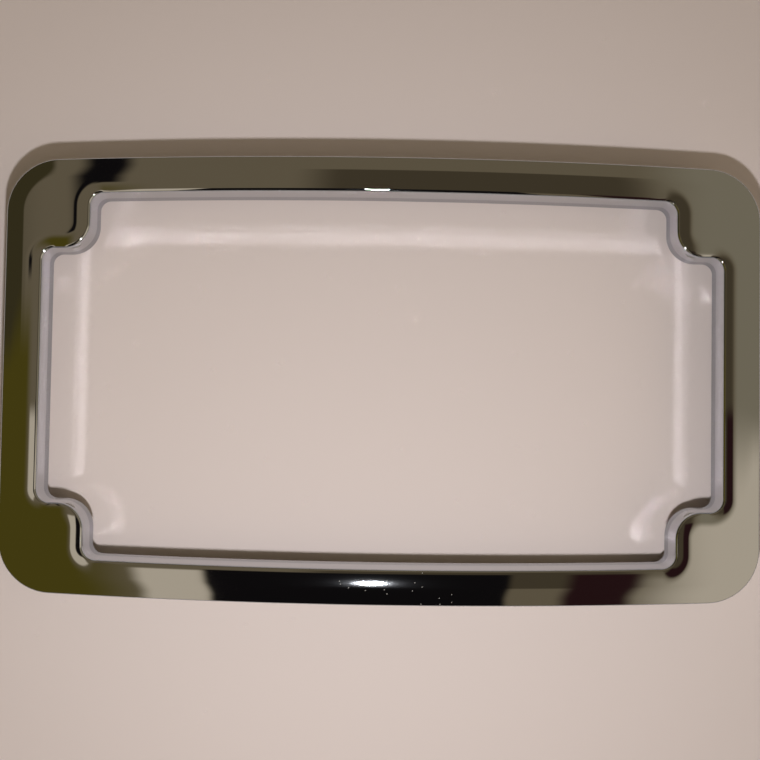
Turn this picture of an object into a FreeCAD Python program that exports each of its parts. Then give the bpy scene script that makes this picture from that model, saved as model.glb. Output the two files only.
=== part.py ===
"""Chrome-plated zinc frame for a 7 x 4 inch motorcycle licence plate, one die casting.

The frame lies on its back: X runs along its width, Y up its height and Z out of its front.
"""
import FreeCAD, Part
import math
import os

import Sketcher

SIZES = {
    "width": (183.0, "outer width"),
    "height": (108.0, "outer height at the middle"),
    "depth": (15.5, "depth at the middle of the face"),
    "corner_radius": (13.0, "outer corner radius"),
    "edge_radius": (2000.0, "bow of the two long edges"),
    "face_radius": (3500.0, "bow of the face along its width"),
    "rail": (9.2, "width of a side rail from the outer edge to the lip"),
    "long_rail": (8.7, "width of a long rail from the outer edge to the lip"),
    "lobe_reach": (11.4, "reach of a corner lobe from the side lip"),
    "lobe_drop": (14.6, "reach of a corner lobe from the long lip"),
    "lobe_radius": (6.3, "round of a corner lobe"),
    "notch_radius": (3.2, "round of the window beside a lobe"),
    "wall_draft": (4.0, "draft of the window wall in degrees"),
    "shoulder_face": (3.2, "outer shoulder across the face"),
    "shoulder_side": (0.9, "outer shoulder down the side"),
    "shoulder_blend": (10.0, "round where the face meets the shoulder"),
    "rim_round": (0.5, "round where the shoulder meets the skirt"),
    "fall_face": (2.4, "fall to the lip across the face"),
    "fall_wall": (0.25, "fall to the lip down the wall"),
    "fall_blend": (18.0, "round where the face starts to fall"),
    "lip_round": (0.8, "round of the window's lip"),
    "plate_width": (178.8, "plate recess width"),
    "plate_height": (102.6, "plate recess height"),
    "plate_corner": (11.5, "plate recess corner radius"),
    "plate_depth": (7.0, "plate recess depth from the rear rim"),
    "channel_inset": (4.2, "cored channel from the outer edge"),
    "lip_wall": (2.2, "wall between the channel and the window"),
    "channel_top": (12.8, "roof of the channel above the rear rim"),
    "boss_radius": (4.2, "screw boss radius"),
    "boss_across": (152.4, "screw boss spacing along the width"),
    "boss_up": (69.85, "screw boss spacing along the height"),
    "thread_bore": (4.2, "tapping bore of the M5 thread"),
    "thread_depth": (5.5, "depth of the tapped holes"),
    "rib": (1.6, "rib thickness"),
    "rib_setback": (1.0, "gap left between a rib and the plate"),
    "rib_spacing": (48.0, "rib spacing along a long rail"),
    "rear_round": (0.5, "round of the rear rim's outer edge"),
}
V = FreeCAD.Vector
QUADRANTS = ((1, 1), (-1, 1), (-1, -1), (1, -1))

doc = FreeCAD.newDocument("plate_frame")
sheet = doc.addObject("Spreadsheet::Sheet", "sizes")
for row, (name, (number, note)) in enumerate(SIZES.items(), start=1):
    sheet.set(f"A{row}", note)
    sheet.set(f"B{row}", str(number))
    sheet.setAlias(f"B{row}", name)
doc.recompute()

body = doc.addObject("PartDesign::Body", "Frame")
body.Label = "frame"
planes = {item.Role: item for item in body.Origin.OriginFeatures}


def size(name):
    """Read one size from the sheet."""
    return float(sheet.get(name))


def bound(text):
    """Turn bracketed size names into references to the sheet's cells."""
    return text.replace("[", "<<sizes>>.").replace("]", "")


def new_sketch(name, plane="XY_Plane", lift=""):
    """Open a sketch on one of the body's own planes, lifted along its normal by an expression."""
    sketch = body.newObject("Sketcher::SketchObject", name)
    sketch.AttachmentSupport = (planes[plane], [""])
    sketch.MapMode = "FlatFace"
    if lift:
        sketch.setExpression("AttachmentOffset.Base.z", bound(lift))
    return sketch


def rule(sketch, kind, ends, number, text):
    """Add a dimension whose value follows an expression of sizes."""
    index = sketch.addConstraint(Sketcher.Constraint(kind, *ends, number))
    sketch.setExpression(f"Constraints[{index}]", bound(text))


def arc(x, y, radius, start, end):
    """Make an arc, counter-clockwise between two angles in radians."""
    return Part.ArcOfCircle(Part.Circle(V(x, y, 0), V(0, 0, 1), radius), start, end)


def line(start, end):
    """Make a straight edge between two points of a sketch."""
    return Part.LineSegment(V(*start, 0), V(*end, 0))


def join(sketch, loop):
    """Make a closed run of edges tangent end to end.

    Each entry is an edge's number and whether the run goes through it backwards.
    """
    for (one, one_back), (two, two_back) in zip(loop, loop[1:] + loop[:1]):
        sketch.addConstraint(
            Sketcher.Constraint("Tangent", one, 1 if one_back else 2, two, 2 if two_back else 1)
        )


def round_rectangle(sketch):
    """Draw the plate recess, a rectangle with round corners and straight edges."""
    half_x = size("plate_width") / 2
    half_y = size("plate_height") / 2
    corner = size("plate_corner")
    middle_x = half_x - corner
    middle_y = half_y - corner
    up = math.pi / 2
    edges = (
        line((half_x, -middle_y), (half_x, middle_y)),
        arc(middle_x, middle_y, corner, 0, up),
        line((middle_x, half_y), (-middle_x, half_y)),
        arc(-middle_x, middle_y, corner, up, 2 * up),
        line((-half_x, middle_y), (-half_x, -middle_y)),
        arc(-middle_x, -middle_y, corner, 2 * up, 3 * up),
        line((-middle_x, -half_y), (middle_x, -half_y)),
        arc(middle_x, -middle_y, corner, 3 * up, 4 * up),
    )
    numbers = [sketch.addGeometry(edge) for edge in edges]
    join(sketch, [(number, False) for number in numbers])
    for number, sign in ((0, 1), (4, -1)):
        sketch.addConstraint(Sketcher.Constraint("Vertical", number))
        rule(sketch, "DistanceX", (number, 1), sign * half_x, f"{sign} * [plate_width] / 2")
    for number, sign in ((2, 1), (6, -1)):
        rule(sketch, "DistanceY", (number, 1), sign * half_y, f"{sign} * [plate_height] / 2")
    for number in (1, 3, 5, 7):
        rule(sketch, "Radius", (number,), corner, "[plate_corner]")


def bowed_rectangle(sketch, sizes, texts):
    """Draw a rectangle with round corners and bowed long edges.

    sizes and texts give the half width, half height, corner radius and bow radius, as numbers and
    as expressions.
    """
    half_x, half_y, corner, bow = sizes
    x_text, y_text, corner_text, bow_text = texts
    middle_x = half_x - corner
    drop = half_y - bow
    middle_y = drop + math.sqrt((bow - corner) ** 2 - middle_x**2)
    lean = math.asin(middle_x / (bow - corner))
    up = math.pi / 2
    right = sketch.addGeometry(line((half_x, -middle_y), (half_x, middle_y)))
    first = sketch.addGeometry(arc(middle_x, middle_y, corner, 0, up - lean))
    top = sketch.addGeometry(arc(0, drop, bow, up - lean, up + lean))
    second = sketch.addGeometry(arc(-middle_x, middle_y, corner, up + lean, math.pi))
    left = sketch.addGeometry(line((-half_x, middle_y), (-half_x, -middle_y)))
    third = sketch.addGeometry(arc(-middle_x, -middle_y, corner, math.pi, 3 * up - lean))
    bottom = sketch.addGeometry(arc(0, -drop, bow, 3 * up - lean, 3 * up + lean))
    fourth = sketch.addGeometry(arc(middle_x, -middle_y, corner, 3 * up + lean, 4 * up))
    join(sketch, [(edge, False) for edge in (right, first, top, second, left, third, bottom, fourth)])
    for edge, sign in ((right, 1), (left, -1)):
        sketch.addConstraint(Sketcher.Constraint("Vertical", edge))
        rule(sketch, "DistanceX", (edge, 1), sign * half_x, f"{sign} * ({x_text})")
    for edge in (first, second, third, fourth):
        rule(sketch, "Radius", (edge,), corner, corner_text)
    for edge, sign in ((top, 1), (bottom, -1)):
        sketch.addConstraint(Sketcher.Constraint("PointOnObject", edge, 3, -2))
        rule(sketch, "Radius", (edge,), bow, bow_text)
        rule(sketch, "DistanceY", (edge, 3), sign * drop, f"{sign} * ({y_text} - ({bow_text}))")


def lobed_window(sketch, grow, grow_text):
    """Draw the window with its four corner lobes, grown outward into the metal by an offset."""
    half_x = size("width") / 2 - size("rail") + grow
    half_y = size("height") / 2 - size("long_rail") + grow
    bow = size("edge_radius") - size("long_rail") + grow
    notch = size("notch_radius") + grow
    lobe = size("lobe_radius") - grow
    shelf = half_y - size("lobe_drop")
    post = half_x - size("lobe_reach")
    drop = half_y - bow
    start_x = post - notch
    start_y = drop + math.sqrt((bow - notch) ** 2 - start_x**2)
    lean = math.asin(start_x / (bow - notch))
    x_text = f"[width] / 2 - [rail]{grow_text}"
    y_text = f"[height] / 2 - [long_rail]{grow_text}"
    bow_text = f"[edge_radius] - [long_rail]{grow_text}"
    back = f"-({grow_text[3:]})" if grow_text else "0"
    lobe_text = f"[lobe_radius] + {back}"
    corners = {}
    for quadrant, (sx, sy) in enumerate(QUADRANTS):
        flip = sx * sy < 0

        def place(x, y, radius, start, end):
            """Set an arc of the first quadrant into this one, by mirroring its angles."""
            if sx < 0:
                start, end = math.pi - end, math.pi - start
            if sy < 0:
                start, end = -end, -start
            return sketch.addGeometry(arc(sx * x, sy * y, radius, start, end))

        up = math.pi / 2
        low = place(half_x - notch, shelf - notch, notch, 0, up)
        shelf_edge = sketch.addGeometry(
            line((sx * (half_x - notch), sy * shelf), (sx * (post + lobe), sy * shelf))
        )
        nose = place(post + lobe, shelf + lobe, lobe, 2 * up, 3 * up)
        post_edge = sketch.addGeometry(
            line((sx * post, sy * (shelf + lobe)), (sx * post, sy * start_y))
        )
        high = place(start_x, start_y, notch, 0, up - lean)
        corners[quadrant] = (low, shelf_edge, nose, post_edge, high, flip)
        sketch.addConstraint(Sketcher.Constraint("Horizontal", shelf_edge))
        sketch.addConstraint(Sketcher.Constraint("Vertical", post_edge))
        for edge in (low, high):
            rule(sketch, "Radius", (edge,), notch, f"[notch_radius]{grow_text}")
        rule(sketch, "Radius", (nose,), lobe, lobe_text)
        rule(sketch, "DistanceY", (shelf_edge, 1), sy * shelf, f"{sy} * ({y_text} - [lobe_drop])")
        rule(sketch, "DistanceX", (post_edge, 1), sx * post, f"{sx} * ({x_text} - [lobe_reach])")
    side_y = shelf - notch
    right = sketch.addGeometry(line((half_x, -side_y), (half_x, side_y)))
    left = sketch.addGeometry(line((-half_x, side_y), (-half_x, -side_y)))
    up = math.pi / 2
    top = sketch.addGeometry(arc(0, drop, bow, up - lean, up + lean))
    bottom = sketch.addGeometry(arc(0, -drop, bow, 3 * up - lean, 3 * up + lean))
    for edge, sign in ((right, 1), (left, -1)):
        sketch.addConstraint(Sketcher.Constraint("Vertical", edge))
        rule(sketch, "DistanceX", (edge, 1), sign * half_x, f"{sign} * ({x_text})")
    for edge, sign in ((top, 1), (bottom, -1)):
        sketch.addConstraint(Sketcher.Constraint("PointOnObject", edge, 3, -2))
        rule(sketch, "Radius", (edge,), bow, bow_text)
        rule(sketch, "DistanceY", (edge, 3), sign * drop, f"{sign} * ({y_text} - ({bow_text}))")
    loop = []
    for quadrant, before in enumerate((right, top, left, bottom)):
        low, shelf_edge, nose, post_edge, high, flip = corners[quadrant]
        run = [(low, flip), (shelf_edge, False), (nose, not flip), (post_edge, False), (high, flip)]
        if flip:
            run = [(edge, not back_way) for edge, back_way in reversed(run)]
        loop += [(before, False)] + run
    join(sketch, loop)


def finish(feature):
    """Rebuild the document and stop if a feature has failed."""
    doc.recompute()
    if not feature.isValid() or feature.Shape.isNull() or not feature.Shape.isValid():
        raise RuntimeError(f"{feature.Name} did not build: {feature.State}")
    return feature


def pad(name, sketch, length):
    """Raise a sketch along its normal by an expression."""
    feature = body.newObject("PartDesign::Pad", name)
    feature.Profile = sketch
    feature.setExpression("Length", bound(length))
    return finish(feature)


def pocket(name, sketch, length="", upward=False, draft=""):
    """Cut a sketch to a depth given by an expression, or right through the body."""
    feature = body.newObject("PartDesign::Pocket", name)
    feature.Profile = sketch
    feature.Reversed = upward
    if length:
        feature.setExpression("Length", bound(length))
    else:
        feature.Type = "ThroughAll"
        feature.Midplane = True
    if draft:
        feature.setExpression("TaperAngle", bound(draft))
    return finish(feature)


def edge_near(feature, x, y, z):
    """Name the edge of a feature whose middle is nearest a point."""
    target = V(x, y, z)

    def gap(edge):
        return (edge.valueAt((edge.FirstParameter + edge.LastParameter) / 2) - target).Length

    edges = feature.Shape.Edges
    return f"Edge{min(range(len(edges)), key=lambda index: gap(edges[index])) + 1}"


def bevel(name, base, near, face_text, side_text, flip):
    """Slope an edge and all that runs on from it, by two distances."""
    feature = body.newObject("PartDesign::Chamfer", name)
    feature.Base = (base, [edge_near(base, *near)])
    feature.ChamferType = "Two distances"
    feature.FlipDirection = flip
    feature.setExpression("Size", bound(face_text))
    feature.setExpression("Size2", bound(side_text))
    return finish(feature)


def soften(name, base, near, radius_text):
    """Round an edge and all that runs on from it."""
    feature = body.newObject("PartDesign::Fillet", name)
    feature.Base = (base, [edge_near(base, *point) for point in near])
    feature.setExpression("Radius", bound(radius_text))
    return finish(feature)


# Block: the outline raised to full depth, then its face bowed along the width
outline = new_sketch("OutlineSketch")
bowed_rectangle(
    outline,
    (size("width") / 2, size("height") / 2, size("corner_radius"), size("edge_radius")),
    ("[width] / 2", "[height] / 2", "[corner_radius]", "[edge_radius]"),
)
block = pad("Block", outline, "[depth]")

reach = size("width") / 2 + 2
sky = size("depth") + 2
centre = size("depth") - size("face_radius")
fall = centre + math.sqrt(size("face_radius") ** 2 - reach**2)
swing = math.asin(reach / size("face_radius"))
bow_sketch = new_sketch("FaceBowSketch", "XZ_Plane")
bow_sketch.addGeometry(arc(0, centre, size("face_radius"), math.pi / 2 - swing, math.pi / 2 + swing))
bow_sketch.addGeometry(line((-reach, fall), (-reach, sky)))
bow_sketch.addGeometry(line((-reach, sky), (reach, sky)))
bow_sketch.addGeometry(line((reach, sky), (reach, fall)))
for one, one_end, two, two_end in ((0, 2, 1, 1), (1, 2, 2, 1), (2, 2, 3, 1), (3, 2, 0, 1)):
    bow_sketch.addConstraint(Sketcher.Constraint("Coincident", one, one_end, two, two_end))
bow_sketch.addConstraint(Sketcher.Constraint("Vertical", 1))
bow_sketch.addConstraint(Sketcher.Constraint("Horizontal", 2))
bow_sketch.addConstraint(Sketcher.Constraint("Vertical", 3))
bow_sketch.addConstraint(Sketcher.Constraint("PointOnObject", 0, 3, -2))
rule(bow_sketch, "Radius", (0,), size("face_radius"), "[face_radius]")
rule(bow_sketch, "DistanceY", (0, 3), centre, "[depth] - [face_radius]")
rule(bow_sketch, "DistanceX", (1, 1), -reach, "-[width] / 2 - 2")
rule(bow_sketch, "DistanceX", (3, 1), reach, "[width] / 2 + 2")
rule(bow_sketch, "DistanceY", (2, 1), sky, "[depth] + 2")
face = pocket("FaceBow", bow_sketch)
face_end = size("depth") - (size("width") / 2) ** 2 / (2 * size("face_radius"))

# Rear: the recess that takes the plate and the cored channel behind the rails
recess_sketch = new_sketch("RecessSketch")
round_rectangle(recess_sketch)
recess = pocket("PlateRecess", recess_sketch, "[plate_depth]", upward=True)

channel_sketch = new_sketch("ChannelSketch")
inset = size("channel_inset")
bowed_rectangle(
    channel_sketch,
    (
        size("width") / 2 - inset,
        size("height") / 2 - inset,
        size("corner_radius") - inset,
        size("edge_radius") - inset,
    ),
    (
        "[width] / 2 - [channel_inset]",
        "[height] / 2 - [channel_inset]",
        "[corner_radius] - [channel_inset]",
        "[edge_radius] - [channel_inset]",
    ),
)
lobed_window(channel_sketch, size("lip_wall"), " + [lip_wall]")
channel = pocket("Channel", channel_sketch, "[channel_top]", upward=True)

# Bosses and ribs: cast in the channel, the bosses level with the plate's seat
boss_sketch = new_sketch("BossSketch", lift="[plate_depth]")
for sx, sy in QUADRANTS:
    spot = V(sx * size("boss_across") / 2, sy * size("boss_up") / 2, 0)
    number = boss_sketch.addGeometry(Part.Circle(spot, V(0, 0, 1), size("boss_radius")))
    rule(boss_sketch, "Radius", (number,), size("boss_radius"), "[boss_radius]")
    rule(boss_sketch, "DistanceX", (number, 3), spot.x, f"{sx} * [boss_across] / 2")
    rule(boss_sketch, "DistanceY", (number, 3), spot.y, f"{sy} * [boss_up] / 2")
bosses = pad("Bosses", boss_sketch, "[channel_top] - [plate_depth] + 0.4")


def rectangle(sketch, spans, texts):
    """Draw a rectangle between two X and two Y values, each given as a number and an expression."""
    (left, right, low, high) = spans
    corners = ((left, low), (right, low), (right, high), (left, high))
    numbers = [
        sketch.addGeometry(line(start, end)) for start, end in zip(corners, corners[1:] + corners[:1])
    ]
    for one, two in zip(numbers, numbers[1:] + numbers[:1]):
        sketch.addConstraint(Sketcher.Constraint("Coincident", one, 2, two, 1))
    for number, kind in zip(numbers, ("Horizontal", "Vertical", "Horizontal", "Vertical")):
        sketch.addConstraint(Sketcher.Constraint(kind, number))
    rule(sketch, "DistanceX", (numbers[3], 1), left, texts[0])
    rule(sketch, "DistanceX", (numbers[1], 1), right, texts[1])
    rule(sketch, "DistanceY", (numbers[0], 1), low, texts[2])
    rule(sketch, "DistanceY", (numbers[2], 1), high, texts[3])


rib_sketch = new_sketch("RibSketch", lift="[plate_depth] + [rib_setback]")
half_rib = size("rib") / 2
near_y = size("height") / 2 - size("long_rail") + 0.8
far_y = size("height") / 2 - size("channel_inset") + 0.8
for step in (-1, 0, 1):
    for sign in (1, -1):
        middle = step * size("rib_spacing")
        lows = sorted((sign * near_y, sign * far_y))
        low_texts = [
            f"{sign} * ([height] / 2 - [long_rail] + 0.8)",
            f"{sign} * ([height] / 2 - [channel_inset] + 0.8)",
        ]
        rectangle(
            rib_sketch,
            (middle - half_rib, middle + half_rib, *lows),
            (
                f"{step} * [rib_spacing] - [rib] / 2",
                f"{step} * [rib_spacing] + [rib] / 2",
                *(low_texts if sign > 0 else reversed(low_texts)),
            ),
        )
near_x = size("width") / 2 - size("rail") + 0.8
far_x = size("width") / 2 - size("channel_inset") + 0.8
for sign in (1, -1):
    spans = sorted((sign * near_x, sign * far_x))
    texts = [f"{sign} * ([width] / 2 - [rail] + 0.8)", f"{sign} * ([width] / 2 - [channel_inset] + 0.8)"]
    rectangle(
        rib_sketch,
        (*spans, -half_rib, half_rib),
        (*(texts if sign > 0 else reversed(texts)), "-[rib] / 2", "[rib] / 2"),
    )
ribs = pad("Ribs", rib_sketch, "[channel_top] - [plate_depth] - [rib_setback] + 0.4")

# Window: cut through from the front with draft, so that the wall shows all round
window_sketch = new_sketch("WindowSketch", lift="[depth]")
lobed_window(window_sketch, 0.0, "")
window = pocket("Window", window_sketch, "[depth] + 1", draft="-[wall_draft]")

# Front edges: the sloped shoulder outside, the gentle fall and the rolled lip round the window
half_width = size("width") / 2
side_lip = half_width - size("rail")
shoulder = bevel(
    "Shoulder", window, (half_width, 0, face_end), "[shoulder_face]", "[shoulder_side]", True
)
lip_fall = bevel("LipFall", shoulder, (side_lip, 0, face_end), "[fall_face]", "[fall_wall]", False)
shoulder_blend = soften(
    "ShoulderBlend",
    lip_fall,
    [(half_width - size("shoulder_face"), 0, face_end)],
    "[shoulder_blend]",
)
rim = soften(
    "RimRound", shoulder_blend, [(half_width, 0, face_end - size("shoulder_side"))], "[rim_round]"
)
lip = soften("LipRound", rim, [(side_lip, 0, face_end - size("fall_wall"))], "[lip_round]")
blend = soften("FallBlend", lip, [(side_lip + size("fall_face"), 0, face_end)], "[fall_blend]")

# Rear edge and the tapped holes
rear = soften("RearRound", blend, [(half_width, 0, 0)], "[rear_round]")
hole_sketch = new_sketch("HoleSketch", lift="[plate_depth]")
for sx, sy in QUADRANTS:
    spot = V(sx * size("boss_across") / 2, sy * size("boss_up") / 2, 0)
    number = hole_sketch.addGeometry(Part.Circle(spot, V(0, 0, 1), size("thread_bore") / 2))
    rule(hole_sketch, "Diameter", (number,), size("thread_bore"), "[thread_bore]")
    rule(hole_sketch, "DistanceX", (number, 3), spot.x, f"{sx} * [boss_across] / 2")
    rule(hole_sketch, "DistanceY", (number, 3), spot.y, f"{sy} * [boss_up] / 2")
holes = pocket("TappedHoles", hole_sketch, "[thread_depth]", upward=True)

for item in doc.Objects:
    if "Invalid" in item.State or "Error" in item.State:
        raise RuntimeError(f"{item.Name} is in error")
solid = body.Shape
if len(solid.Solids) != 1 or not solid.isValid():
    raise RuntimeError("the frame is not one sound solid")
os.makedirs("parts", exist_ok=True)
solid.exportStep(f"parts/{body.Label}.step")
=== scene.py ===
"""Chrome license plate frame, lying on its back on a pale floor and seen from above.

The frame is one polished zinc casting with bright chrome plate. Its front is swept here as closed
rings from the solid's sizes, with a gentler fall to the lip, so that reflections run smoothly over
the shoulder, the face, the rolled lip and the drafted window wall.
"""
from __future__ import annotations

import logging
import math
from dataclasses import dataclass, field
from enum import Enum

import bmesh
import bpy
from mathutils import Matrix, Vector

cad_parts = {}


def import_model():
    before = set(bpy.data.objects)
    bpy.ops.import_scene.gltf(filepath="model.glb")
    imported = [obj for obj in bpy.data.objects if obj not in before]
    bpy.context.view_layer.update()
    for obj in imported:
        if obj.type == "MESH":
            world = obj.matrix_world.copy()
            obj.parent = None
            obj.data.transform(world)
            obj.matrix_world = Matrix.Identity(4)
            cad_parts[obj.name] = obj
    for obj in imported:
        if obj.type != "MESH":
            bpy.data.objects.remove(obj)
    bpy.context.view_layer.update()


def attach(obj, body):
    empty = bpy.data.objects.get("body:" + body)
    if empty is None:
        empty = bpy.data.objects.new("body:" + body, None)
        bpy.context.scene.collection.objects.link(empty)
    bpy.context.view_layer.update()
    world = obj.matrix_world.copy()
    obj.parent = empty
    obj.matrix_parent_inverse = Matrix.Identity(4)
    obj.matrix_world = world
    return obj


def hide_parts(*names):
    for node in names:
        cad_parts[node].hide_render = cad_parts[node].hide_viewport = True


LOG = logging.getLogger("plate_frame")
MM = 0.001
Ring = list[Vector]


class Surface(Enum):
    """The surfaces of the casting, numbered as their material slots."""

    POLISHED = 0
    AS_CAST = 1
    SATIN = 2


def linear(code: str) -> tuple[float, float, float, float]:
    """Turn an sRGB hex colour into linear values.

    Args:
        code: Six hex digits.

    Returns:
        Red, green, blue and an alpha of one.
    """
    parts = (int(code[i : i + 2], 16) / 255 for i in (0, 2, 4))
    red, green, blue = (p / 12.92 if p <= 0.04045 else ((p + 0.055) / 1.055) ** 2.4 for p in parts)
    return red, green, blue, 1.0


def add_node(
    tree: bpy.types.NodeTree, kind: str, inputs: dict | None = None, **settings: object
) -> bpy.types.Node:
    """Add one shader node.

    Args:
        tree: The node tree.
        kind: The node's type name.
        inputs: Socket name or number to a value, or to a socket to link from.
        settings: Properties of the node itself.

    Returns:
        The new node.
    """
    node = tree.nodes.new(kind)
    for name, setting in settings.items():
        setattr(node, name, setting)
    for name, given in (inputs or {}).items():
        if isinstance(given, bpy.types.NodeSocket):
            tree.links.new(given, node.inputs[name])
        else:
            node.inputs[name].default_value = given
    return node


def maths(
    tree: bpy.types.NodeTree, operation: str, first: object, second: object
) -> bpy.types.NodeSocket:
    """Work out one value from two.

    Args:
        tree: The node tree.
        operation: Name of the sum.
        first: A number, or a socket to link from.
        second: A number, or a socket to link from.

    Returns:
        The socket with the value.
    """
    return add_node(tree, "ShaderNodeMath", {0: first, 1: second}, operation=operation).outputs[0]


def spread(start: float, end: float, count: int) -> list[float]:
    """Give evenly spaced values.

    Args:
        start: First value.
        end: Last value.
        count: Number of steps.

    Returns:
        One value more than the steps, both ends included.
    """
    return [start + (end - start) * i / count for i in range(count + 1)]


def new_object(name: str, mesh: bmesh.types.BMesh) -> bpy.types.Object:
    """Put a mesh into the scene.

    Args:
        name: Name of the object.
        mesh: The mesh, which is freed.

    Returns:
        The new object.
    """
    data = bpy.data.meshes.new(name)
    mesh.to_mesh(data)
    mesh.free()
    thing = bpy.data.objects.new(name, data)
    bpy.context.scene.collection.objects.link(thing)
    return thing


@dataclass(frozen=True)
class FrameSizes:
    """The casting's sizes in millimetres and degrees, as in the solid's source apart from the fall.

    The three fall sizes are gentler than the solid's, by less than 0.1 mm, so that no bead shows at
    the lip.
    """

    width: float = 183.0
    height: float = 108.0
    depth: float = 15.5
    corner_radius: float = 13.0
    edge_radius: float = 2000.0
    face_radius: float = 3500.0
    rail: float = 9.2
    long_rail: float = 8.7
    lobe_reach: float = 11.4
    lobe_drop: float = 14.6
    lobe_radius: float = 6.3
    notch_radius: float = 3.2
    wall_draft: float = 4.0
    shoulder_face: float = 3.2
    shoulder_side: float = 0.9
    shoulder_blend: float = 10.0
    rim_round: float = 0.5
    fall_face: float = 3.0
    fall_wall: float = 0.18
    fall_blend: float = 35.0
    lip_round: float = 0.8
    plate_width: float = 178.8
    plate_height: float = 102.6
    plate_corner: float = 11.5
    plate_depth: float = 7.0
    channel_inset: float = 4.2
    lip_wall: float = 2.2
    channel_top: float = 12.8
    boss_radius: float = 4.2
    boss_across: float = 152.4
    boss_up: float = 69.85
    thread_bore: float = 4.2
    thread_depth: float = 5.5
    rib: float = 1.6
    rib_setback: float = 1.0
    rib_spacing: float = 48.0
    rear_round: float = 0.5

    def face_height(self, across: float) -> float:
        """Give the height of the bowed face.

        Args:
            across: Distance from the middle along the width.

        Returns:
            Height above the rear rim.
        """
        return self.depth - self.face_radius + math.sqrt(self.face_radius**2 - across**2)


@dataclass(frozen=True)
class Outlines:
    """The outer outline, the window and the plate recess as rings of matching points.

    Every ring has the same number of points, and a point of one ring faces the same point of the
    next, so that rings can be joined with quads.
    """

    sizes: FrameSizes
    side_steps: int = 10
    notch_steps: int = 14
    shelf_steps: int = 3
    nose_steps: int = 22
    long_steps: int = 44

    def _mirrored(self, quarter: list[tuple[float, float]]) -> list[tuple[float, float]]:
        """Complete a quarter that runs from the X axis to the Y axis.

        Args:
            quarter: Points from the X axis to the Y axis.

        Returns:
            All four quarters in order, without doubled points.
        """
        left = [(-x, y) for x, y in reversed(quarter[:-1])]
        upper = quarter + left
        lower = [(x, -y) for x, y in reversed(upper[1:-1])]
        return upper + lower

    def _bow_points(self, bow: float, half_y: float, start: float) -> list[tuple[float, float]]:
        """Give points along a bowed long edge, from a start to the Y axis.

        Args:
            bow: Radius of the edge.
            half_y: Height of the edge over the middle.
            start: Angle from the Y axis where the edge starts.

        Returns:
            The points after the first.
        """
        angles = spread(start, 0.0, self.long_steps)[1:]
        return [(bow * math.sin(a), half_y - bow + bow * math.cos(a)) for a in angles]

    def outer(self, inset: float) -> list[tuple[float, float]]:
        """Give the outer outline, set in by a distance.

        Args:
            inset: Distance inward from the outer edge.

        Returns:
            The ring's points.
        """
        s = self.sizes
        return self._round_rectangle(
            s.width / 2 - inset, s.height / 2 - inset, s.corner_radius - inset, s.edge_radius - inset
        )

    def recess(self) -> list[tuple[float, float]]:
        """Give the outline of the plate recess.

        Returns:
            The ring's points.
        """
        s = self.sizes
        return self._round_rectangle(s.plate_width / 2, s.plate_height / 2, s.plate_corner, 1e6)

    def _round_rectangle(
        self, half_x: float, half_y: float, corner: float, bow: float
    ) -> list[tuple[float, float]]:
        """Give a rectangle with round corners and bowed long edges.

        Args:
            half_x: Half the width.
            half_y: Half the height at the middle.
            corner: Corner radius.
            bow: Radius of the long edges.

        Returns:
            The ring's points.
        """
        middle_x = half_x - corner
        middle_y = half_y - bow + math.sqrt((bow - corner) ** 2 - middle_x**2)
        lean = math.asin(middle_x / (bow - corner))
        turns = 2 * self.notch_steps + 2 * self.shelf_steps + self.nose_steps
        quarter = [(half_x, y) for y in spread(0.0, middle_y, self.side_steps)]
        for angle in spread(0.0, math.pi / 2 - lean, turns)[1:]:
            quarter.append((middle_x + corner * math.cos(angle), middle_y + corner * math.sin(angle)))
        return self._mirrored(quarter + self._bow_points(bow, half_y, lean))

    def window(self, grow: float) -> list[tuple[float, float]]:
        """Give the window's outline, grown into the metal by a distance.

        Args:
            grow: Distance from the lip line into the metal.

        Returns:
            The ring's points.
        """
        s = self.sizes
        half_x = s.width / 2 - s.rail + grow
        half_y = s.height / 2 - s.long_rail + grow
        bow = s.edge_radius - s.long_rail + grow
        notch = s.notch_radius + grow
        lobe = s.lobe_radius - grow
        shelf = half_y - s.lobe_drop
        post = half_x - s.lobe_reach
        high_x = post - notch
        high_y = half_y - bow + math.sqrt((bow - notch) ** 2 - high_x**2)
        lean = math.asin(high_x / (bow - notch))
        low_x = half_x - notch
        low_y = shelf - notch
        quarter = [(half_x, y) for y in spread(0.0, low_y, self.side_steps)]
        for a in spread(0.0, math.pi / 2, self.notch_steps)[1:]:
            quarter.append((low_x + notch * math.cos(a), low_y + notch * math.sin(a)))
        quarter += [(x, shelf) for x in spread(low_x, post + lobe, self.shelf_steps)[1:]]
        for a in spread(1.5 * math.pi, math.pi, self.nose_steps)[1:]:
            quarter.append((post + lobe + lobe * math.cos(a), shelf + lobe + lobe * math.sin(a)))
        quarter += [(post, y) for y in spread(shelf + lobe, high_y, self.shelf_steps)[1:]]
        for a in spread(0.0, math.pi / 2 - lean, self.notch_steps)[1:]:
            quarter.append((high_x + notch * math.cos(a), high_y + notch * math.sin(a)))
        return self._mirrored(quarter + self._bow_points(bow, half_y, lean))


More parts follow.
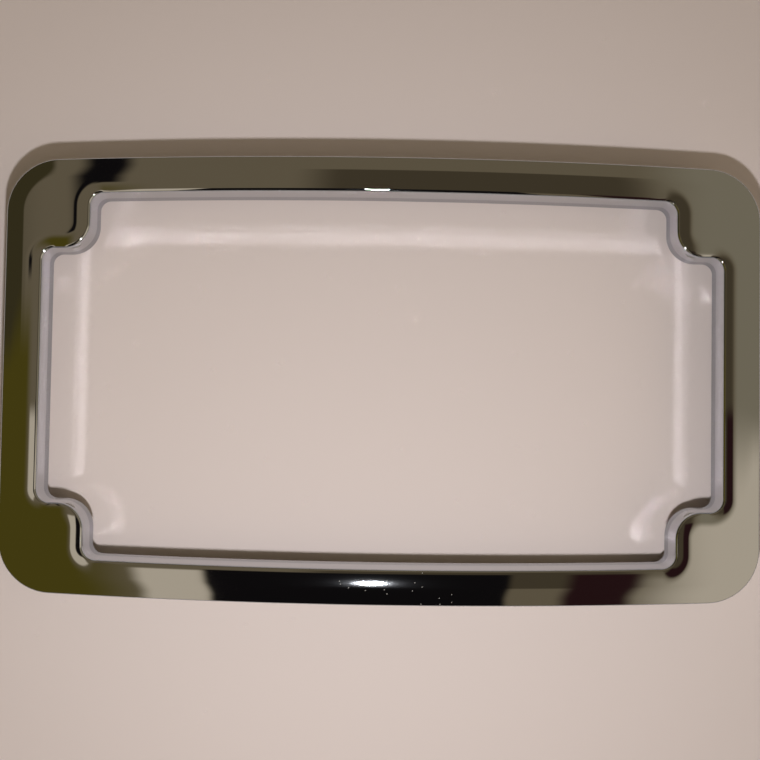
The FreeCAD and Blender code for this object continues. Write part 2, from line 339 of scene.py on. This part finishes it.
@dataclass
class Casting:
    """The chrome frame as one closed mesh of rings, with its bosses and ribs joined on.

    Wall bands are shares of the window wall's height, from the lip down. Bosses and ribs bite into the
    channel's roof and outer wall, so that they join cleanly.
    """

    sizes: FrameSizes = field(default_factory=FrameSizes)
    rings: list[Ring] = field(default_factory=list)
    surfaces: list[Surface] = field(default_factory=list)
    lines: Outlines = field(init=False)
    wall_bands: tuple[tuple[float, Surface], ...] = (
        (0.06, Surface.POLISHED),
        (0.62, Surface.POLISHED),
        (0.8, Surface.SATIN),
        (0.94, Surface.SATIN),
    )
    roof_bite: float = 0.4
    wall_bite: float = 0.8
    seat_gap: float = 0.005
    bore_run_in: float = 2.0
    sharp_angle: float = 28.0

    def __post_init__(self) -> None:
        """Take the outlines from the sizes."""
        self.lines = Outlines(self.sizes)

    def _add(self, outline: list[tuple[float, float]], surface: Surface, fall: float) -> None:
        """Add a ring that follows the bowed face.

        Args:
            outline: The ring's points.
            surface: The surface that ends at this ring.
            fall: Height over the face, negative below it.
        """
        self.rings.append([Vector((x, y, self.sizes.face_height(x) + fall)) for x, y in outline])
        self.surfaces.append(surface)

    def _add_flat(self, outline: list[tuple[float, float]], surface: Surface, height: float) -> None:
        """Add a flat ring.

        Args:
            outline: The ring's points.
            surface: The surface that ends at this ring.
            height: Height above the rear rim.
        """
        self.rings.append([Vector((x, y, height)) for x, y in outline])
        self.surfaces.append(surface)

    def _outside(self) -> None:
        """Sweep the rear edge's round, the skirt, the rim and the sloped shoulder."""
        s = self.sizes
        for turn in spread(0.0, math.pi / 2, 4):
            edge = self.lines.outer(s.rear_round * (1 - math.sin(turn)))
            self._add_flat(edge, Surface.POLISHED, s.rear_round * (1 - math.cos(turn)))
        slope = math.atan2(s.shoulder_side, s.shoulder_face)
        foot = s.rim_round * math.tan((math.pi / 2 - slope) / 2)
        centre = -s.shoulder_side - foot
        skirt = self.lines.outer(0.0)
        for share in (0.06, 0.5, 0.94):
            self.rings.append(
                [
                    Vector((x, y, s.rear_round + share * (s.face_height(x) + centre - s.rear_round)))
                    for x, y in skirt
                ]
            )
            self.surfaces.append(Surface.POLISHED)
        for tilt in spread(math.pi / 2, slope, 10):
            fall = centre + s.rim_round * math.cos(tilt)
            self._add(self.lines.outer(s.rim_round * (1 - math.sin(tilt))), Surface.POLISHED, fall)
        start = s.shoulder_face + s.shoulder_blend * math.tan(slope / 2)
        blend_end = start - s.shoulder_blend * math.sin(slope)
        rim_end = s.rim_round * (1 - math.sin(slope))
        for inset in spread(rim_end, blend_end, 4)[1:-1]:
            fall = -s.shoulder_side + inset * math.tan(slope)
            self._add(self.lines.outer(inset), Surface.POLISHED, fall)
        for tilt in spread(slope, 0.0, 16):
            fall = s.shoulder_blend * (math.cos(tilt) - 1)
            inset = start - s.shoulder_blend * math.sin(tilt)
            self._add(self.lines.outer(inset), Surface.POLISHED, fall)

    def _face(self) -> None:
        """Carry the face over from the shoulder to the start of its fall to the lip."""
        s = self.sizes
        slope = math.atan2(s.shoulder_side, s.shoulder_face)
        inset = s.shoulder_face + s.shoulder_blend * math.tan(slope / 2)
        fall = math.atan2(s.fall_wall, s.fall_face)
        grow = s.fall_face + s.fall_blend * math.tan(fall / 2)
        outer = self.lines.outer(inset)
        inner = self.lines.window(grow)
        for share in (0.04, 0.25, 0.5, 0.75, 0.96):
            mixed = [
                (ax + (bx - ax) * share, ay + (by - ay) * share)
                for (ax, ay), (bx, by) in zip(outer, inner)
            ]
            self._add(mixed, Surface.POLISHED, 0.0)

    def _lip(self) -> None:
        """Sweep the fall of the face, the rolled lip and the drafted wall of the window."""
        s = self.sizes
        slope = math.atan2(s.fall_wall, s.fall_face)
        draft = math.radians(s.wall_draft)
        start = s.fall_face + s.fall_blend * math.tan(slope / 2)
        for tilt in spread(0.0, slope, 8):
            grow = start - s.fall_blend * math.sin(tilt)
            self._add(self.lines.window(grow), Surface.POLISHED, s.fall_blend * (math.cos(tilt) - 1))
        steep = math.pi / 2 - draft
        reach = s.lip_round * math.tan((steep - slope) / 2)
        first = Vector((reach * math.cos(slope), -s.fall_wall + reach * math.sin(slope)))
        centre = first - s.lip_round * Vector((-math.sin(slope), math.cos(slope)))
        for tilt in spread(slope, steep, 14):
            point = centre + s.lip_round * Vector((-math.sin(tilt), math.cos(tilt)))
            self._add(self.lines.window(point.x), Surface.POLISHED, point.y)
        foot = -(s.depth - s.plate_depth) * math.tan(draft)
        end = self.rings[-1]
        floor = self.lines.window(foot)
        for share, surface in self.wall_bands:
            self.rings.append(
                [a.lerp(Vector((x, y, s.plate_depth)), share) for a, (x, y) in zip(end, floor)]
            )
            self.surfaces.append(surface)
        self._add_flat(floor, Surface.SATIN, s.plate_depth)

    def _rear(self) -> None:
        """Step through the plate's seat, the cored channel and the recess back to the rear rim."""
        s = self.sizes
        near = self.lines.window(s.lip_wall)
        far = self.lines.outer(s.channel_inset)
        for outline, height in (
            (near, s.plate_depth),
            (near, s.channel_top),
            (far, s.channel_top),
            (far, s.plate_depth),
            (self.lines.recess(), s.plate_depth),
            (self.lines.recess(), 0.0),
        ):
            self._add_flat(outline, Surface.AS_CAST, height)

    def _sweep(self) -> bpy.types.Object:
        """Join the rings into one closed mesh.

        Returns:
            The swept frame, in metres.
        """
        for step in (self._outside, self._face, self._lip, self._rear):
            step()
        mesh = bmesh.new()
        rows = [[mesh.verts.new(point * MM) for point in ring] for ring in self.rings]
        count = len(rows[0])
        for number, row in enumerate(rows):
            after = rows[(number + 1) % len(rows)]
            for i in range(count):
                j = (i + 1) % count
                quad = mesh.faces.new((row[i], row[j], after[j], after[i]))
                quad.material_index = self.surfaces[(number + 1) % len(rows)].value
        mesh.normal_update()
        if mesh.calc_volume(signed=True) < 0:
            bmesh.ops.reverse_faces(mesh, faces=mesh.faces)
        return new_object("frame_casting", mesh)

    def _cores(self) -> bpy.types.Object:
        """Make the screw bosses and the ribs that stand in the channel.

        Returns:
            One mesh of closed solids, in metres.
        """
        s = self.sizes
        mesh = bmesh.new()
        top = s.channel_top + self.roof_bite
        for sx in (-1, 1):
            for sy in (-1, 1):
                low = s.plate_depth + self.seat_gap
                place = Vector((sx * s.boss_across / 2, sy * s.boss_up / 2, (low + top) / 2)) * MM
                bmesh.ops.create_cone(
                    mesh,
                    cap_ends=True,
                    segments=72,
                    radius1=s.boss_radius * MM,
                    radius2=s.boss_radius * MM,
                    depth=(top - low) * MM,
                    matrix=Matrix.Translation(place),
                )
        low = s.plate_depth + s.rib_setback
        tall = top - low
        long_y = s.height / 2 - (s.long_rail + s.channel_inset) / 2 + self.wall_bite
        side_x = s.width / 2 - (s.rail + s.channel_inset) / 2 + self.wall_bite
        long_span = s.long_rail - s.channel_inset
        side_span = s.rail - s.channel_inset
        steps = [(step * s.rib_spacing, sy) for step in (-1, 0, 1) for sy in (-1, 1)]
        blocks = [(x, sy * long_y, s.rib, long_span) for x, sy in steps]
        blocks += [(sx * side_x, 0.0, side_span, s.rib) for sx in (-1, 1)]
        for x, y, wide, high in blocks:
            place = Matrix.Translation(Vector((x, y, (low + top) / 2)) * MM)
            shape = Matrix.Diagonal((wide * MM, high * MM, tall * MM, 1.0))
            bmesh.ops.create_cube(mesh, size=1.0, matrix=place @ shape)
        for quad in mesh.faces:
            quad.material_index = Surface.AS_CAST.value
        return new_object("cores", mesh)

    def _bores(self) -> bpy.types.Object:
        """Make the tapped holes as solids to cut away.

        Returns:
            One mesh of closed solids, in metres.
        """
        s = self.sizes
        mesh = bmesh.new()
        tall = s.thread_depth + self.bore_run_in
        for sx in (-1, 1):
            for sy in (-1, 1):
                middle = s.plate_depth + s.thread_depth - tall / 2
                place = Vector((sx * s.boss_across / 2, sy * s.boss_up / 2, middle)) * MM
                bmesh.ops.create_cone(
                    mesh,
                    cap_ends=True,
                    segments=48,
                    radius1=s.thread_bore / 2 * MM,
                    radius2=s.thread_bore / 2 * MM,
                    depth=tall * MM,
                    matrix=Matrix.Translation(place),
                )
        for quad in mesh.faces:
            quad.material_index = Surface.AS_CAST.value
        return new_object("bores", mesh)

    @staticmethod
    def _combine(thing: bpy.types.Object, tool: bpy.types.Object, operation: str) -> None:
        """Join or cut one mesh with another and drop the tool.

        Args:
            thing: The mesh that is kept.
            tool: The mesh that joins or cuts it.
            operation: UNION or DIFFERENCE.
        """
        modifier = thing.modifiers.new("combine", "BOOLEAN")
        modifier.operation = operation
        modifier.object = tool
        modifier.solver = "EXACT"
        graph = bpy.context.evaluated_depsgraph_get()
        result = bpy.data.meshes.new_from_object(thing.evaluated_get(graph))
        thing.modifiers.clear()
        thing.data = result
        bpy.data.objects.remove(tool)

    def build(self, finishes: dict[Surface, bpy.types.Material]) -> bpy.types.Object:
        """Build the finished frame.

        Args:
            finishes: The material of each surface.

        Returns:
            The frame.
        """
        thing = self._sweep()
        tools = ((self._cores(), "UNION"), (self._bores(), "DIFFERENCE"))
        for item in (thing, tools[0][0], tools[1][0]):
            for surface in Surface:
                item.data.materials.append(finishes[surface])
        for tool, operation in tools:
            self._combine(thing, tool, operation)
        thing.data.shade_smooth()
        thing.data.set_sharp_from_angle(angle=math.radians(self.sharp_angle))
        return thing


@dataclass(frozen=True)
class ChromePlate:
    """Chrome electroplate over die-cast zinc, as polished or as dull as the casting under it.

    A size of zero leaves the grain or the dust out. The dust's speck and share are parts of its gap and
    of its specks, and its place and reach are in metres.
    """

    name: str
    colour: str
    roughness: float
    grain_mm: float = 0.0
    grain_height_mm: float = 0.0
    dust_gap_mm: float = 0.0
    dust_colour: str = "8f8d8a"
    dust_roughness: float = 0.8
    dust_speck: float = 0.055
    dust_bare_share: float = 0.6
    dust_place: tuple[float, float, float] = (0.004, -0.050, 0.0155)
    dust_squeeze: tuple[float, float, float] = (0.45, 1.0, 1.0)
    dust_reach: float = 0.007

    def build(self) -> bpy.types.Material:
        """Make the material.

        Returns:
            The material.
        """
        material = bpy.data.materials.new(self.name)
        material.use_nodes = True
        tree = material.node_tree
        shader = tree.nodes["Principled BSDF"]
        shader.inputs["Base Color"].default_value = linear(self.colour)
        shader.inputs["Metallic"].default_value = 1.0
        shader.inputs["Roughness"].default_value = self.roughness
        if self.grain_mm:
            self._add_grain(tree, shader)
        if self.dust_gap_mm:
            self._add_dust(tree, shader)
        return material

    def _add_grain(self, tree: bpy.types.NodeTree, shader: bpy.types.Node) -> None:
        """Roughen the surface with the fine skin of the die.

        Args:
            tree: The material's node tree.
            shader: The plate's shader.
        """
        where = add_node(tree, "ShaderNodeTexCoord").outputs["Object"]
        grain = add_node(
            tree,
            "ShaderNodeTexNoise",
            {"Vector": where, "Scale": 1 / (self.grain_mm * MM), "Detail": 3.0},
        )
        bump = add_node(
            tree, "ShaderNodeBump", {"Height": grain.outputs[0], "Distance": self.grain_height_mm * MM}
        )
        tree.links.new(bump.outputs["Normal"], shader.inputs["Normal"])

    def _add_dust(self, tree: bpy.types.NodeTree, shader: bpy.types.Node) -> None:
        """Lay a few matt specks of dust on the middle of the bottom rail.

        Args:
            tree: The material's node tree.
            shader: The plate's shader.
        """
        where = add_node(tree, "ShaderNodeTexCoord").outputs["Object"]
        cells = add_node(
            tree,
            "ShaderNodeTexVoronoi",
            {"Vector": where, "Scale": 1 / (self.dust_gap_mm * MM)},
            voronoi_dimensions="2D",
        )
        near = maths(tree, "LESS_THAN", cells.outputs["Distance"], self.dust_speck)
        pick = add_node(tree, "ShaderNodeSeparateColor", {0: cells.outputs["Color"]}).outputs[0]
        few = maths(tree, "GREATER_THAN", pick, self.dust_bare_share)
        spot = add_node(
            tree, "ShaderNodeVectorMath", {0: where, 1: self.dust_place}, operation="SUBTRACT"
        )
        squeezed = add_node(
            tree,
            "ShaderNodeVectorMath",
            {0: spot.outputs[0], 1: self.dust_squeeze},
            operation="MULTIPLY",
        )
        away = add_node(tree, "ShaderNodeVectorMath", {0: squeezed.outputs[0]}, operation="LENGTH")
        close = maths(tree, "LESS_THAN", away.outputs["Value"], self.dust_reach)
        speck = maths(tree, "MULTIPLY", near, few)
        dust = maths(tree, "MULTIPLY", speck, close)
        bare = maths(tree, "SUBTRACT", 1.0, dust)
        tint = add_node(
            tree,
            "ShaderNodeMix",
            {0: dust, 6: linear(self.colour), 7: linear(self.dust_colour)},
            data_type="RGBA",
        )
        matt = add_node(
            tree,
            "ShaderNodeMapRange",
            {"Value": dust, "To Min": self.roughness, "To Max": self.dust_roughness},
        )
        tree.links.new(bare, shader.inputs["Metallic"])
        tree.links.new(tint.outputs[2], shader.inputs["Base Color"])
        tree.links.new(matt.outputs[0], shader.inputs["Roughness"])


@dataclass(frozen=True)
class Shot:
    """Where the camera stands, in metres and degrees."""

    distance: float = 0.2567
    lens: float = 50.0
    tilt: float = 2.0
    roll: float = 0.9
    aim: tuple[float, float, float] = (-0.0003, 0.0, 0.0115)

    def place(self) -> None:
        """Put the camera over the frame."""
        data = bpy.data.cameras.new("camera")
        data.lens = self.lens
        data.clip_start = 0.01
        camera = bpy.data.objects.new("camera", data)
        bpy.context.scene.collection.objects.link(camera)
        lean = math.radians(self.tilt)
        turn = math.radians(self.roll)
        back = Vector((0, -math.sin(lean), math.cos(lean)))
        right = Vector((-math.sin(turn), math.cos(turn), 0)).cross(back).normalized()
        axes = Matrix((right, back.cross(right), back)).transposed().to_4x4()
        camera.matrix_world = Matrix.Translation(Vector(self.aim) + back * self.distance) @ axes
        bpy.context.scene.camera = camera


@dataclass(frozen=True)
class StudioPanel:
    """One plain tinted panel over the frame, as a soft-edged range of directions.

    Side is the X part of a direction. Along is its slope towards the top of the frame.
    """

    name: str
    tone: str
    side: tuple[float, float]
    along: tuple[float, float]
    soft: float = 0.03


@dataclass(frozen=True)
class Sky:
    """A dim studio over the frame, which the chrome mirrors.

    Its panels are listed, one plain tone each, and a later one covers an earlier one. The spans
    say at which heights of a direction the studio passes into its wall and the wall into the horizon.
    """

    ceiling: str = "584e3c"
    wall: str = "383028"
    horizon: str = "b4b0a8"
    strength: float = 2.0
    wall_span: tuple[float, float] = (0.45, 0.25)
    horizon_span: tuple[float, float] = (0.16, 0.06)
    least_height: float = 0.05
    panels: tuple[StudioPanel, ...] = (
        StudioPanel("dim_panel", "3a3224", (-0.07, 0.27), (-0.20, 0.50), 0.06),
        StudioPanel("right_panel", "6a6250", (0.30, 2.00), (-9.0, 9.0), 0.08),
        StudioPanel("lit_right_panel", "a09480", (0.30, 2.00), (-9.0, -0.03), 0.10),
        StudioPanel("left_panel", "302a18", (-2.00, -0.38), (-9.0, 9.0), 0.08),
        StudioPanel("olive_panel", "403810", (-2.00, -0.27), (-9.0, 0.09), 0.09),
        StudioPanel("black_strip", "0c0a0a", (-0.315, -0.27), (0.13, 9.0), 0.02),
        StudioPanel("tan_panel", "a09480", (-0.25, -0.18), (-9.0, 0.00), 0.02),
        StudioPanel("black_panel", "0c0a0a", (-0.18, 0.14), (-9.0, 0.01), 0.01),
        StudioPanel("maroon_panel", "201010", (0.20, 0.27), (-9.0, 0.01), 0.02),
    )

    def build(self) -> None:
        """Make the world."""
        world = bpy.data.worlds.new("dim_studio")
        bpy.context.scene.world = world
        world.use_nodes = True
        tree = world.node_tree
        ray = add_node(tree, "ShaderNodeTexCoord").outputs["Generated"]
        parts = add_node(tree, "ShaderNodeSeparateXYZ", {0: ray}).outputs
        height = maths(tree, "MAXIMUM", parts["Z"], self.least_height)
        along = maths(tree, "DIVIDE", parts["Y"], height)
        room = add_node(tree, "ShaderNodeRGB").outputs[0]
        room.default_value = linear(self.ceiling)
        for panel in self.panels:
            across = self._within(tree, parts["X"], panel.side, panel.soft)
            up = self._within(tree, along, panel.along, panel.soft)
            share = maths(tree, "MULTIPLY", across, up)
            room = self._cover(tree, share, room, panel.tone, panel.name)
        low = self._edge(tree, parts["Z"], *self.wall_span)
        room = self._cover(tree, low, room, self.wall, "wall")
        lowest = self._edge(tree, parts["Z"], *self.horizon_span)
        room = self._cover(tree, lowest, room, self.horizon, "horizon")
        tree.links.new(room, tree.nodes["Background"].inputs["Color"])
        tree.nodes["Background"].inputs["Strength"].default_value = self.strength

    @staticmethod
    def _edge(
        tree: bpy.types.NodeTree, value: bpy.types.NodeSocket, start: float, end: float
    ) -> bpy.types.NodeSocket:
        """Rise softly from zero to one.

        Args:
            tree: The world's node tree.
            value: What decides.
            start: The value that gives zero.
            end: The value that gives one.

        Returns:
            The socket with the share.
        """
        return add_node(
            tree,
            "ShaderNodeMapRange",
            {"Value": value, "From Min": start, "From Max": end},
            interpolation_type="SMOOTHSTEP",
        ).outputs[0]

    def _within(
        self,
        tree: bpy.types.NodeTree,
        value: bpy.types.NodeSocket,
        span: tuple[float, float],
        soft: float,
    ) -> bpy.types.NodeSocket:
        """Tell how far a value lies inside a span.

        Args:
            tree: The world's node tree.
            value: What decides.
            span: Both ends of the span.
            soft: Width of the soft edge at each end.

        Returns:
            The socket with the share, one well inside.
        """
        low, high = span
        rise = self._edge(tree, value, low - soft / 2, low + soft / 2)
        fall = self._edge(tree, value, high + soft / 2, high - soft / 2)
        return maths(tree, "MULTIPLY", rise, fall)

    @staticmethod
    def _cover(
        tree: bpy.types.NodeTree,
        share: bpy.types.NodeSocket,
        under: bpy.types.NodeSocket,
        tone: str,
        name: str,
    ) -> bpy.types.NodeSocket:
        """Lay a tone over what is there.

        Args:
            tree: The world's node tree.
            share: How much the tone covers.
            under: The colour so far.
            tone: The tone as sRGB hex.
            name: What the tone belongs to, as the node's label.

        Returns:
            The mixed colour's socket.
        """
        return add_node(
            tree, "ShaderNodeMix", {0: share, 6: under, 7: linear(tone)}, data_type="RGBA", label=name
        ).outputs[2]


def area_light(
    name: str, place: tuple[float, float, float], across: float, power: float, mirrored: bool = True
) -> None:
    """Hang a round lamp that shines at the frame.

    Args:
        name: Name of the lamp.
        place: Where it hangs, in metres.
        across: Its diameter.
        power: Its power in watts.
        mirrored: Whether the chrome shows it.
    """
    data = bpy.data.lights.new(name, "AREA")
    data.shape = "DISK"
    data.size = across
    data.energy = power
    lamp = bpy.data.objects.new(name, data)
    bpy.context.scene.collection.objects.link(lamp)
    lamp.location = place
    lamp.visible_glossy = mirrored
    lamp.rotation_euler = Vector(place).to_track_quat("Z", "Y").to_euler()


@dataclass(frozen=True)
class PaleFloor:
    """A matt pale sheet that brightens to a pale backdrop between two distances from the frame."""

    colour: str = "ddd0ce"
    far_colour: str = "d2cac4"
    near: float = 0.12
    far: float = 0.42
    half_size: float = 6.0
    roughness: float = 0.9
    gloss: float = 0.2

    def build(self) -> None:
        """Lay the floor."""
        mesh = bmesh.new()
        bmesh.ops.create_grid(mesh, size=self.half_size)
        floor = new_object("floor", mesh)
        paper = bpy.data.materials.new("matt_pale_paper")
        paper.use_nodes = True
        tree = paper.node_tree
        shader = tree.nodes["Principled BSDF"]
        shader.inputs["Base Color"].default_value = linear(self.colour)
        shader.inputs["Roughness"].default_value = self.roughness
        shader.inputs["Specular IOR Level"].default_value = self.gloss
        shader.inputs["Emission Color"].default_value = linear(self.far_colour)
        where = add_node(tree, "ShaderNodeTexCoord").outputs["Object"]
        away = add_node(tree, "ShaderNodeVectorMath", {0: where}, operation="LENGTH")
        reach = add_node(
            tree,
            "ShaderNodeMapRange",
            {"Value": away.outputs["Value"], "From Min": self.near, "From Max": self.far},
            interpolation_type="SMOOTHSTEP",
        )
        path = add_node(tree, "ShaderNodeLightPath")
        mirror = maths(tree, "MAXIMUM", path.outputs["Is Camera Ray"], path.outputs["Is Glossy Ray"])
        seen = maths(tree, "MAXIMUM", mirror, path.outputs["Is Transmission Ray"])
        glow = maths(tree, "MULTIPLY", reach.outputs[0], seen)
        tree.links.new(glow, shader.inputs["Emission Strength"])
        floor.data.materials.append(paper)


def main() -> None:
    """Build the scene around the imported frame."""
    logging.basicConfig(level=logging.INFO)
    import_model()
    # Bright plate on the polished front mirrors the studio almost sharply and carries a little dust.
    polished = ChromePlate("chrome_plate_polished", "bcbfc5", roughness=0.025, dust_gap_mm=2.2).build()
    # Duller plate low on the window wall blurs the floor into a soft grey.
    satin = ChromePlate("chrome_plate_satin", "9ea2a9", roughness=0.18).build()
    # Plate over the unpolished rear shows the die's fine skin.
    as_cast = ChromePlate(
        "chrome_plate_as_cast", "a9a8a5", roughness=0.3, grain_mm=0.25, grain_height_mm=0.01
    ).build()
    casting = Casting().build(
        {Surface.POLISHED: polished, Surface.AS_CAST: as_cast, Surface.SATIN: satin}
    )
    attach(casting, "root")
    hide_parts("frame")
    PaleFloor().build()
    Sky().build()
    area_light("key", place=(-0.003, -0.073, 0.235), across=0.012, power=0.37)
    area_light("ceiling_glow", place=(0.0, -0.10, 0.70), across=0.60, power=0.30, mirrored=False)
    Shot().place()
    scene = bpy.context.scene
    scene.view_settings.view_transform = "Standard"
    # The polished walls throw the key lamp's light onto the floor as lines; these keep them clean.
    scene.cycles.blur_glossy = 0.02
    scene.cycles.use_guiding = True
    scene.cycles.sample_clamp_indirect = 0.0
    LOG.info("casting has %d faces", len(casting.data.polygons))


if __name__ == "__main__":
    main()
